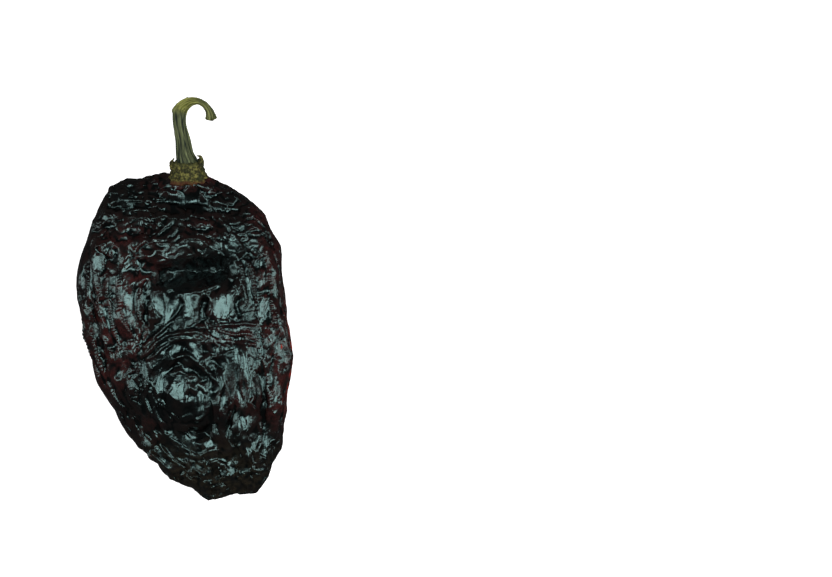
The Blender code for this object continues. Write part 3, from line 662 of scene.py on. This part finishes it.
amount *= (1 - 0.6 * near_crest) * (1 - 0.5 * sunk) * (1 - 0.5 * ramp(-net.rest[:, 0], 10, 20))
growth = spring_growth(net, push_matrices(net, even=0.03, aimed=0.20, down_side=0.12), amount)
start = net.normal * (0.12 * noise_over(net.rest, 1.1, 9.1))[:, None]
move_to(pod, net.crumple(growth, start, rounds=260, bending=0.06, flesh=0.012, drift=0.006, carry=0.9))
cut_facets(pod, size=2.3, lean=0.28, seed=8, strength=0.6)
raise_crests(pod, widen=0.0, share=0.65)
points = places(pod)
points[:, 2] = np.maximum(points[:, 2], 0)
move_to(pod, points)
pod.data.shade_smooth()
triangles = sum(len(face.vertices) - 2 for face in pod.data.polygons)
print("the skin has", triangles, "triangles")

# %% [markdown]
# ## Marks for the colour
#
# The skin's colour follows its shape. Creases are painted almost black, which is painted shade, and where
# the skin is thin or was exposed while drying, the dark red of the flesh comes through. The shape is known
# here, point by point, so the marks are worked out now and kept in the mesh as named attributes, which the
# material reads. `crest` is how far a point stands above the smoothed skin, and the creases are painted
# dark from it. `red` says where the red shows, and `rim` is the thin edge where bright red is painted for
# the light that shines through it. `husky` is the dull, mottled tip, and `sunk` is the deep hollow, which
# is painted nearly black as painted shade.

# %% Work out the marks
# Each place: its x and y, its two half sizes and its strength.
RED_PLACES = (
    (-27, -10, 8, 20, 1.0), (-18.5, -3.5, 6, 13, 0.8), (-23.7, -20.5, 6, 8, 0.9), (-11.8, 6.6, 5, 5, 0.7),
    (6.8, 23.5, 6, 4, 0.6), (29.5, 10, 5.5, 20, 1.0), (26, 28.5, 6, 6, 0.6), (18.6, -12, 13, 3.5, 0.8),
    (33.8, -23.8, 3, 18, 1.0), (3.0, 39.4, 13, 3.6, 1.3), (-18.6, 20, 9, 6, 0.8), (-8, 14, 8, 5, 0.5),
    (20, -34, 9, 8, 0.5), (-11.8, -44, 5, 5, 0.5), (-14, -14, 5, 6, 0.8), (12, -4, 4, 6, 0.4),
    (29, -16, 5, 8, 0.6), (30, -34, 4, 8, 0.6),
)
# Places where bright red is painted on the edge, standing in for light that shines through the thin skin.
RIM_PLACES = (
    (35.5, -20, 2.4, 17, 1.5), (-25.0, -37, 2.0, 2.5, 0.9), (7.8, 41.6, 1.8, 1.2, 0.9),
    (-11, -52, 3, 2.0, 0.5),
)


def keep_mark(piece, name, values):
    """Stores one number for each point of a piece."""
    mark = piece.data.attributes.new(name, "FLOAT", "POINT")
    mark.data.foreach_set("value", np.asarray(values, np.float32))


points = places(pod)
smoothed = np.stack([net.smooth(points[:, axis], 12) for axis in range(3)], axis=1)
crest = np.einsum("ni,ni->n", points - smoothed, net.normal)
# The material reads crest to paint shade into the creases, where it is low.
keep_mark(pod, "crest", np.clip(0.5 + crest / 0.3, 0, 1))
keep_mark(pod, "red", np.clip(spots(points, RED_PLACES), 0, 1))
# rim marks the steep edge where painted light goes: bright red for light shining through.
keep_mark(pod, "rim", np.clip(spots(points, RIM_PLACES), 0, 1) * (1 - ramp(net.normal[:, 2], 0.0, 0.35)))
keep_mark(pod, "husky", ramp(-points[:, 1], 40, 60))
# sunk also paints shade: the material makes the deep hollow nearly black.
keep_mark(pod, "sunk", in_deep_hollow(points))
print("crests stand", round(float(np.quantile(crest, 0.98)), 2), "mm above the smoothed skin")

# %% [markdown]
# ## Helpers for materials
#
# A material is a small network of nodes that ends in the Principled shader. The helpers below add a node,
# wire it up, and blend two colours, so that each material reads as a short list of what it is made of.

# %% Helpers for materials
class Finish:
    """A new node material, with its Principled shader at hand."""

    def __init__(self, name, roughness):
        self.material = bpy.data.materials.new(name)
        self.material.use_nodes = True
        self.tree = self.material.node_tree
        self.shader = self.tree.nodes["Principled BSDF"]
        self.shader.inputs["Roughness"].default_value = roughness

    def add(self, kind, **inputs):
        """A node of that kind. Sockets are set by name: a number or colour is set, a socket is linked."""
        made = self.tree.nodes.new("ShaderNode" + kind)
        self.wire(made, **inputs)
        return made

    def fill(self, socket, value):
        """Links a socket to the value if that is a socket too, or else sets it."""
        if isinstance(value, bpy.types.NodeSocket):
            self.tree.links.new(value, socket)
        else:
            socket.default_value = value

    def wire(self, made, **inputs):
        """Fills the sockets of a node. An underscore in a name stands for a space."""
        for name, value in inputs.items():
            self.fill(made.inputs[name.replace("_", " ")], value)

    def mark(self, name):
        """The value of a mark that was kept in the mesh."""
        made = self.add("Attribute")
        made.attribute_name = name
        return made.outputs["Fac"]

    def grain(self, size_mm, detail=3, kind="FBM"):
        """Noise on the object's own coordinates, with blobs of about that size."""
        where = self.add("TexCoord").outputs["Object"]
        scaled = self.add("Mapping", Vector=where, Scale=(1 / (size_mm * MM),) * 3)
        made = self.add("TexNoise", Vector=scaled.outputs["Vector"], Scale=1.0, Detail=detail)
        made.noise_type = kind
        return made.outputs["Fac"]

    def ramp(self, value, low, high):
        """0 below low and 1 above high."""
        made = self.add("MapRange", Value=value, From_Min=low, From_Max=high)
        return made.outputs["Result"]

    def maths(self, how, one, two):
        """One value added to, multiplied by or otherwise joined with another."""
        made = self.tree.nodes.new("ShaderNodeMath")
        made.operation = how
        for socket, value in zip(made.inputs, (one, two)):
            self.fill(socket, value)
        return made.outputs["Value"]

    def blend(self, share, one, two):
        """One colour turning into another as share goes from 0 to 1."""
        made = self.tree.nodes.new("ShaderNodeMix")
        made.data_type = "RGBA"
        for number, value in ((0, share), (6, one), (7, two)):
            self.fill(made.inputs[number], (*value, 1) if isinstance(value, tuple) else value)
        return made.outputs[2]

    def bump(self, height, depth_mm, strength=1.0, over=None):
        """A bump of that depth. over is the bump that it lies on."""
        made = self.add("Bump", Height=height, Distance=depth_mm * MM, Strength=strength)
        if over is not None:
            self.tree.links.new(over, made.inputs["Normal"])
        return made.outputs["Normal"]

    def put_on(self, piece):
        """Makes this the piece's one material."""
        piece.data.materials.clear()
        piece.data.materials.append(self.material)


print("finishes can be made")

# %% [markdown]
# ## The skin's finish
#
# Dried ancho skin is almost black. Held to the light it is the red of strong tea. The base colour goes
# from black to maroon with the mark `red`, broken up by noise. Bright red is painted along the rim for the
# light that shines through it, which is painted light, and the deep hollow and the creases are painted
# almost black, which is painted shade. The tip is mottled with a dull brown. The gloss is a thin natural
# wax that looks cool and greenish next to the red, so the reflection is given that tint. The finest
# wrinkles, under half a millimetre, are bump.

# %% Finish the skin
skin = Finish("dried_skin_finish", 0.24)
broken = skin.ramp(skin.grain(3.0, detail=5), 0.33, 0.60)
redness = skin.maths("MULTIPLY", skin.mark("red"), broken)
clouds = skin.ramp(skin.grain(9.0), 0.4, 0.6)
black_skin = skin.blend(clouds, (0.0034, 0.0034, 0.0036), (0.0085, 0.0054, 0.0050))
flecks = skin.ramp(skin.grain(1.2, detail=4), 0.35, 0.7)
maroon = skin.blend(flecks, (0.022, 0.0055, 0.0052), (0.055, 0.0130, 0.0120))
colour = skin.blend(redness, black_skin, maroon)
# Painted shade: the deep hollow is painted nearly black.
colour = skin.blend(skin.mark("sunk"), colour, (0.0020, 0.0018, 0.0020))
# Painted shade: the creases, where crest is low, are painted almost black.
colour = skin.blend(skin.ramp(skin.mark("crest"), 0.45, 0.15), colour, (0.0015, 0.0012, 0.0014))
# Painted light: bright red on the rim stands in for light shining through the thin skin.
lit = skin.maths("MULTIPLY", skin.mark("rim"), skin.ramp(skin.grain(2.4, detail=4), 0.40, 0.62))
colour = skin.blend(lit, colour, (0.55, 0.034, 0.015))
mottles = skin.maths("MULTIPLY", skin.ramp(skin.grain(1.6, detail=4), 0.40, 0.62), skin.mark("husky"))
colour = skin.blend(mottles, colour, (0.018, 0.014, 0.009))
wrinkles = skin.bump(skin.grain(1.3, detail=5, kind="RIDGED_MULTIFRACTAL"), 0.12, 0.6)
wrinkles = skin.bump(skin.grain(0.55, detail=3), 0.06, 0.7, over=wrinkles)
dull = skin.add(
    "MapRange", Value=skin.grain(4.0, detail=4), From_Min=0.4, From_Max=0.65, To_Min=0.14, To_Max=0.27
)
dull = skin.maths("ADD", dull.outputs["Result"], skin.maths("MULTIPLY", skin.mark("sunk"), 0.05))
WAXY_TINT = (0.60, 1.0, 0.97, 1)
skin.wire(skin.shader, Base_Color=colour, Normal=wrinkles, Roughness=dull, Specular_Tint=WAXY_TINT)
skin.put_on(pod)
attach(pod, "root")
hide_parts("pod")
print("skin finished")

# %% [markdown]
# ## The calyx
#
# The calyx is what is left of the green cup under the flower: a dry collar with a ragged rim. It is
# turned like a napkin ring. A cylinder is cut into rings, and each ring takes the radius and the height
# of one point of the collar's profile, from the mouth over the rim and down to the skirt. The rim and the
# skirt are then torn and roughened with noise, and a few curled teeth are added to the rim.

# %% Turn the collar
COLLAR_PROFILE = (
    (3.75, 1.9), (3.9, 2.9), (4.1, 3.9), (4.45, 4.5), (4.85, 4.2), (5.1, 3.3), (5.35, 2.2), (5.8, 1.0),
    (6.4, -0.2), (7.0, -1.2), (7.4, -2.0), (6.9, -2.7), (5.0, -3.0),
)
COLLAR_RINGS = 48
COLLAR_SIDES = 160
COLLAR_SEAT = Vector((1.3, 42.0, 12.8))
COLLAR_LIFT_DEG = 11.0


def ringed_cylinder(name, sides, rings):
    """A cylinder of radius 1 mm from height 0 to 1 mm, cut into that many rings."""
    bpy.ops.object.select_all(action="DESELECT")
    bpy.ops.mesh.primitive_cylinder_add(
        vertices=sides, radius=MM, depth=MM, location=(0, 0, 0), end_fill_type="TRIFAN"
    )
    made = bpy.context.object
    made.name = name
    bpy.ops.object.mode_set(mode="EDIT")
    bpy.ops.mesh.select_all(action="DESELECT")
    bpy.ops.object.mode_set(mode="OBJECT")
    for edge in made.data.edges:
        low, high = (made.data.vertices[v].co for v in edge.vertices)
        edge.select = abs(low.z - high.z) > 0.5 * MM
    bpy.ops.object.mode_set(mode="EDIT")
    bpy.ops.mesh.select_mode(type="EDGE")
    bpy.ops.mesh.subdivide_edgering(number_cuts=rings - 2, interpolation="LINEAR")
    bpy.ops.object.mode_set(mode="OBJECT")
    return made


def turn_of(points):
    """The direction of each point round the Z axis."""
    return np.arctan2(points[:, 1], points[:, 0])


calyx = ringed_cylinder("calyx_collar", COLLAR_SIDES, COLLAR_RINGS)
points = places(calyx)
along = points[:, 2] + 0.5
radius = np.hypot(points[:, 0], points[:, 1])
turn = turn_of(points)
profile = curve_through(COLLAR_PROFILE, 6)
stations = np.linspace(0, 1, len(profile))
ring_radius = np.interp(along, stations, profile[:, 0])
ring_height = np.interp(along, stations, profile[:, 1])
circle = np.stack([np.cos(turn), np.sin(turn), np.zeros(len(turn))], axis=1)
outside = ramp(along, 0.12, 0.3)
torn = noise_over(circle * 3.4, 1.0, 9.6) + 0.6 * noise_over(circle * 9.0, 1.0, 2.2)
rim_part = np.exp(-(((along - 0.27) / 0.13) ** 2))
skirt_part = np.exp(-(((along - 0.85) / 0.16) ** 2))
coarse = noise_over(np.stack([np.cos(turn), np.sin(turn), 0.4 * ring_height], axis=1) * 3.2, 1.0, 5.1)
fine = noise_over(np.stack([np.cos(turn) * 5, np.sin(turn) * 5, ring_height * 0.9], axis=1) * 2.1, 1.0, 1.7)
ring_radius = ring_radius + outside * (0.45 * coarse + 0.22 * np.abs(fine)) + 0.15 * skirt_part * torn
ring_height = ring_height + 0.9 * rim_part * torn - 0.9 * skirt_part * torn
points = circle * (ring_radius * np.minimum(radius, 1))[:, None]
points[:, 2] = ring_height
upright = Matrix.Translation(COLLAR_SEAT) @ Matrix.Rotation(math.radians(COLLAR_LIFT_DEG - 90), 4, "X")
points = np.array([upright @ Vector(p) for p in points])
move_to(calyx, points)
keep_mark(calyx, "rim", rim_part)
keep_mark(calyx, "skirt", skirt_part)
turn_faces_out(calyx)
calyx.data.shade_smooth()
print("collar:", len(calyx.data.polygons), "faces, from", points.min(axis=0).round(1), "mm")

# %% [markdown]
# The teeth are tapered strips that curl over. Each follows a short curve: a path of points with a radius
# at each. Blender sweeps a round section along it, and the curve is then made a mesh.

# %% Curl the teeth
# Each tooth: the x, y and z of the points on its curve, and its radius there.
TEETH = (
    (
        (5.0, 44.0, 14.4, 1.4), (5.8, 45.6, 15.2, 1.1), (6.1, 47.0, 15.7, 0.7), (5.6, 48.0, 16.0, 0.45),
        (4.7, 48.2, 16.2, 0.15),
    ),
    ((-3.4, 43.8, 14.4, 1.3), (-4.0, 45.3, 15.2, 0.9), (-3.8, 46.6, 15.7, 0.5), (-3.1, 47.4, 16.0, 0.2)),
    ((0.0, 44.6, 8.4, 0.8), (-0.4, 46.4, 8.3, 0.5), (0.2, 47.8, 8.8, 0.4), (0.9, 48.2, 9.6, 0.2)),
    ((3.9, 44.8, 9.9, 0.8), (4.6, 46.4, 9.6, 0.5), (4.4, 47.6, 9.9, 0.25)),
)


def swept(name, stops):
    """A round strand along the stops, each x, y, z and radius in millimetres, as a closed mesh."""
    curve = bpy.data.curves.new(name, "CURVE")
    curve.dimensions = "3D"
    curve.bevel_depth = MM
    curve.bevel_resolution = 4
    curve.use_fill_caps = True
    line = curve_through(stops, 8)
    strand = curve.splines.new("POLY")
    strand.points.add(len(line) - 1)
    for point, (x, y, z, radius) in zip(strand.points, line):
        point.co = (x * MM, y * MM, z * MM, 1)
        point.radius = radius
    made = bpy.data.objects.new(name, curve)
    bpy.context.scene.collection.objects.link(made)
    only(made)
    bpy.ops.object.convert(target="MESH")
    made = bpy.context.object
    turn_faces_out(made, weld=True)
    return made


def roughen(piece, depth, offset):
    """Moves each point of a piece a little, in all directions."""
    points = places(piece)
    shift = [
        noise_over(points, 0.9, offset + axis) + 0.5 * noise_over(points, 0.4, offset - axis)
        for axis in range(3)
    ]
    move_to(piece, points + depth * np.stack(shift, axis=1))
    piece.data.shade_smooth()


teeth = [swept(f"calyx_tooth_{number}", stops) for number, stops in enumerate(TEETH, 1)]
for number, tooth in enumerate(teeth):
    apply_modifier(tooth, "SUBSURF", levels=1, render_levels=1)
    roughen(tooth, 0.35, 7.0 + 3 * number)
print("teeth:", len(teeth))

# %% [markdown]
# ## The calyx's finish
#
# Dry husk: ochre where it is thick, olive near the stem, brown in its pits, and stained red where it
# meets the pod. It is quite matt, so almost all of its look is colour and relief.

# %% Finish the calyx
husk = Finish("calyx_husk_finish", 0.8)
blotches = husk.ramp(husk.grain(1.8, detail=5), 0.38, 0.62)
ground = husk.blend(blotches, (0.045, 0.054, 0.016), (0.225, 0.210, 0.055))
pitted = husk.ramp(husk.grain(0.8, detail=4), 0.58, 0.44)
husk_colour = husk.blend(husk.maths("MULTIPLY", pitted, 0.85), ground, (0.016, 0.015, 0.006))
olive = husk.maths("MULTIPLY", husk.ramp(husk.mark("rim"), 0.1, 0.9), 0.7)
husk_colour = husk.blend(olive, husk_colour, (0.030, 0.036, 0.012))
stained = husk.maths("MULTIPLY", husk.ramp(husk.mark("skirt"), 0.55, 1.0), 0.75)
husk_colour = husk.blend(stained, husk_colour, (0.085, 0.018, 0.008))
relief = husk.bump(husk.grain(0.6, detail=5, kind="RIDGED_MULTIFRACTAL"), 0.22, 0.8)
husk.wire(husk.shader, Base_Color=husk_colour, Normal=relief, Specular_IOR_Level=0.25)
for piece in [calyx] + teeth:
    husk.put_on(piece)
    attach(piece, "root")
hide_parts("calyx")
print("husk finished on", 1 + len(teeth), "pieces")

# %% [markdown]
# ## The stem
#
# The stem is a dried green stalk: ribbed, because its pith shrank and its fibres didn't, knuckled where it
# was bent over, and torn at its end. It starts as a ringed cylinder again. Each ring is moved onto the
# stem's route and gets the radius there. The ribs are a star-shaped wave round each ring, which wanders
# and fades along the stem, and the last rings are torn. A torn spur stands on the outside of the bend.

# %% Ring by ring along the route
# Each point: its x, y and z, and the stem's radius there.
STEM_ROUTE = (
    (1.3, 43.6, 13.1, 3.5), (0.8, 46.1, 13.6, 3.35), (0.17, 48.6, 14.2, 2.85), (-0.17, 51.2, 14.6, 2.5),
    (-0.5, 53.9, 15.1, 2.2), (-1.0, 56.6, 15.5, 2.05), (-1.3, 59.3, 15.9, 2.0), (-1.25, 61.8, 16.2, 2.1),
    (-0.85, 63.6, 16.4, 2.1), (0.5, 65.3, 16.6, 1.85), (2.7, 66.4, 16.8, 1.4), (5.1, 66.5, 16.8, 1.0),
    (7.2, 65.4, 16.6, 1.0), (8.6, 63.6, 16.3, 1.15), (9.2, 61.9, 16.0, 1.5), (9.4, 60.6, 15.8, 1.8),
)
STEM_RINGS = 260
STEM_SIDES = 120
# Each set of ribs: how many there are, how deep they are, and how far they are turned.
RIB_SETS = ((5, 0.07, 0.4), (9, 0.07, 1.7), (14, 0.04, 2.9))
stem = ringed_cylinder("stem_stalk", STEM_SIDES, STEM_RINGS)
points = places(stem)
along = points[:, 2] + 0.5
radius = np.minimum(np.hypot(points[:, 0], points[:, 1]), 1)
turn = turn_of(points)
line = curve_through(STEM_ROUTE, 12)
length = np.concatenate([[0], np.cumsum(np.linalg.norm(np.diff(line[:, :3], axis=0), axis=1))])
station = along * length[-1]
middle = np.stack([np.interp(station, length, line[:, axis]) for axis in range(3)], axis=1)
thick = np.interp(station, length, line[:, 3])
heading = np.gradient(line[:, :3], axis=0)
heading = unit(np.stack([np.interp(station, length, heading[:, axis]) for axis in range(3)], axis=1))
across = unit(np.cross(heading, (0, 0, 1)))
above = np.cross(across, heading)
wander = 0.5 * np.array([noise.noise(Vector((0.09 * s, 3.0, 1.0))) for s in station])
ribs = np.zeros(len(points))
for count, depth, shift in RIB_SETS:
    swell = 1 + 0.6 * np.array([noise.noise(Vector((0.16 * s, shift, 4.0))) for s in station])
    ribs += depth * swell * np.cos(count * (turn + wander) + shift)
around = np.stack([np.cos(turn) * 2.0, np.sin(turn) * 2.0, station * 0.13], axis=1)
ribs += 0.09 * noise_over(around, 1.0, 6.0) + 0.05 * noise_over(around * (3, 3, 2), 1.0, 2.0)
bend_part = np.exp(-(((station - 20.8) / 1.5) ** 2)) + 0.5 * ramp(station, 24, 26)
ribs += 0.16 * bend_part * noise_over(around * (1.4, 1.4, 9.0), 1.0, 8.0)
ribs += 0.22 * np.exp(-(((station - 19.9) / 0.7) ** 2)) * np.maximum(0, -np.cos(turn))
end_part = ramp(along, 0.93, 1.0)
flat = 1 - 0.30 * ramp(station, 20.0, 26.0)
reach = radius * thick * (1 + ribs)
tear = 1.1 * end_part * noise_over(np.stack([np.cos(turn), np.sin(turn), radius], axis=1) * 2.6, 1.0, 3.3)
side = (reach * np.cos(turn))[:, None] * across
rise = (reach * np.sin(turn) * flat)[:, None] * above
move_to(stem, middle + side + rise + tear[:, None] * heading)
keep_mark(stem, "along", along)
keep_mark(stem, "turn_x", np.cos(turn))
keep_mark(stem, "turn_y", np.sin(turn))
# Painted shade: marks the furrows between the ribs, which the bark paints darker.
keep_mark(stem, "painted_groove_shade", np.clip(0.5 - 3.0 * ribs, 0, 1))
keep_mark(stem, "bent", ramp(station, 18.5, 22.0) * (1 - 0.6 * ramp(station, 26.0, 29.0)))
turn_faces_out(stem)
stem.data.shade_smooth()
SPUR = ((-0.4, 64.6, 16.6, 0.7), (0.5, 66.3, 16.8, 0.6), (1.2, 67.4, 16.9, 0.4), (1.7, 67.8, 16.9, 0.15))
spur = swept("stem_spur", SPUR)
roughen(spur, 0.2, 2.0)
for name in ("along", "turn_x", "turn_y", "painted_groove_shade", "bent"):
    keep_mark(spur, name, np.full(len(spur.data.vertices), {"along": 0.7, "bent": 0.9}.get(name, 0.3)))
print("stem:", round(float(length[-1]), 1), "mm long,", len(stem.data.polygons), "faces")

# %% [markdown]
# ## The stem's finish
#
# Dark olive-green with grey-green streaks, which follow the ribs, and a yellower green where the stem was
# bent and its bark stretched. The furrows between the ribs are painted darker, which is painted shade. The
# streaks need coordinates that run along the stem, round the hook too, so they are built from the marks
# `along`, `turn_x` and `turn_y`.

# %% Finish the stem
bark = Finish("stem_bark_finish", 0.68)
streak_place = bark.add("CombineXYZ", X=bark.mark("turn_x"), Y=bark.mark("turn_y"), Z=bark.mark("along"))
streak_scale = bark.add("Mapping", Vector=streak_place.outputs["Vector"], Scale=(4.5, 4.5, 7.0))
streaks = bark.add("TexNoise", Vector=streak_scale.outputs["Vector"], Scale=1.0, Detail=6)
streaks = bark.ramp(streaks.outputs["Fac"], 0.40, 0.62)
green = bark.blend(streaks, (0.007, 0.017, 0.012), (0.185, 0.215, 0.098))
yellowish = bark.blend(streaks, (0.085, 0.100, 0.016), (0.420, 0.430, 0.110))
bark_colour = bark.blend(bark.mark("bent"), green, yellowish)
# Painted shade: the furrows between the ribs are painted darker.
bark_colour = bark.blend(bark.maths("MULTIPLY", bark.mark("painted_groove_shade"), 0.6), bark_colour, (0.008, 0.012, 0.006))
fibres = bark.bump(bark.grain(0.5, detail=4), 0.06, 0.6)
bark.wire(bark.shader, Base_Color=bark_colour, Normal=fibres, Specular_IOR_Level=0.2)
for piece in (stem, spur):
    bark.put_on(piece)
    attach(piece, "root")
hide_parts("stem")
print("bark finished")

# %% [markdown]
# ## Floor and light
#
# The chilli lies on a white, evenly lit surface that throws no shadow, so the floor glows a little. It is
# hidden from the skin's reflections: a glossy black thing on white would otherwise mirror it all round its
# edge. One large soft light above, a little to the right, makes the patches of gloss. Four long weak ones
# at the sides, two high and two low, draw the thin lines on the flanks.

# %% Floor
bpy.ops.object.select_all(action="DESELECT")
bpy.ops.mesh.primitive_plane_add(size=20, location=(0, 0, 0))
floor = bpy.context.object
floor.name = "floor"
pale = Finish("floor_finish", 0.9)
WHITE = (1, 1, 1, 1)
pale.wire(pale.shader, Base_Color=(0.9, 0.9, 0.9, 1), Emission_Color=WHITE, Emission_Strength=0.9)
pale.put_on(floor)
floor.visible_glossy = False
floor.visible_diffuse = False

# %% Lights
def soft_light(name, place, width, height, watts):
    """An area light at that place, turned to the chilli."""
    light = bpy.data.lights.new(name, "AREA")
    light.shape = "RECTANGLE"
    light.size, light.size_y, light.energy = width, height, watts
    made = bpy.data.objects.new(name, light)
    bpy.context.scene.collection.objects.link(made)
    made.location = place
    made.rotation_euler = (-made.location).to_track_quat("-Z", "Y").to_euler()
    return made


soft_light("overhead", (0.15, 0.02, 1.1), width=0.43, height=0.43, watts=5.4)
soft_light("left_strip", (-0.9, 0.0, 0.7), width=0.25, height=1.0, watts=3.5)
soft_light("right_strip", (0.9, 0.1, 0.75), width=0.3, height=1.0, watts=4.5)
soft_light("low_left", (-1.0, 0.0, 0.22), width=0.12, height=1.2, watts=1.2)
soft_light("low_right", (1.0, 0.0, 0.25), width=0.12, height=1.2, watts=1.6)
world = bpy.data.worlds.new("dim_room")
bpy.context.scene.world = world
world.use_nodes = True
sky = world.node_tree.nodes["Background"]
sky.inputs["Color"].default_value = WHITE
sky.inputs["Strength"].default_value = 0.045
bpy.context.scene.view_settings.view_transform = "Standard"
print("lights: one overhead, four at the sides")

# %% [markdown]
# ## Camera
#
# The camera looks straight down from two thirds of a metre. The chilli is not in the middle of the
# picture but left of it, so the camera stands to its right.

# %% Camera
camera = bpy.data.objects.new("camera", bpy.data.cameras.new("camera"))
bpy.context.scene.collection.objects.link(camera)
camera.data.lens = 85
camera.data.sensor_width = 36
camera.data.clip_end = 50
camera.location = (0.0781, 0.0037, 0.675)
bpy.context.scene.camera = camera
print("camera", round(camera.location.z / MM), "mm above the table")
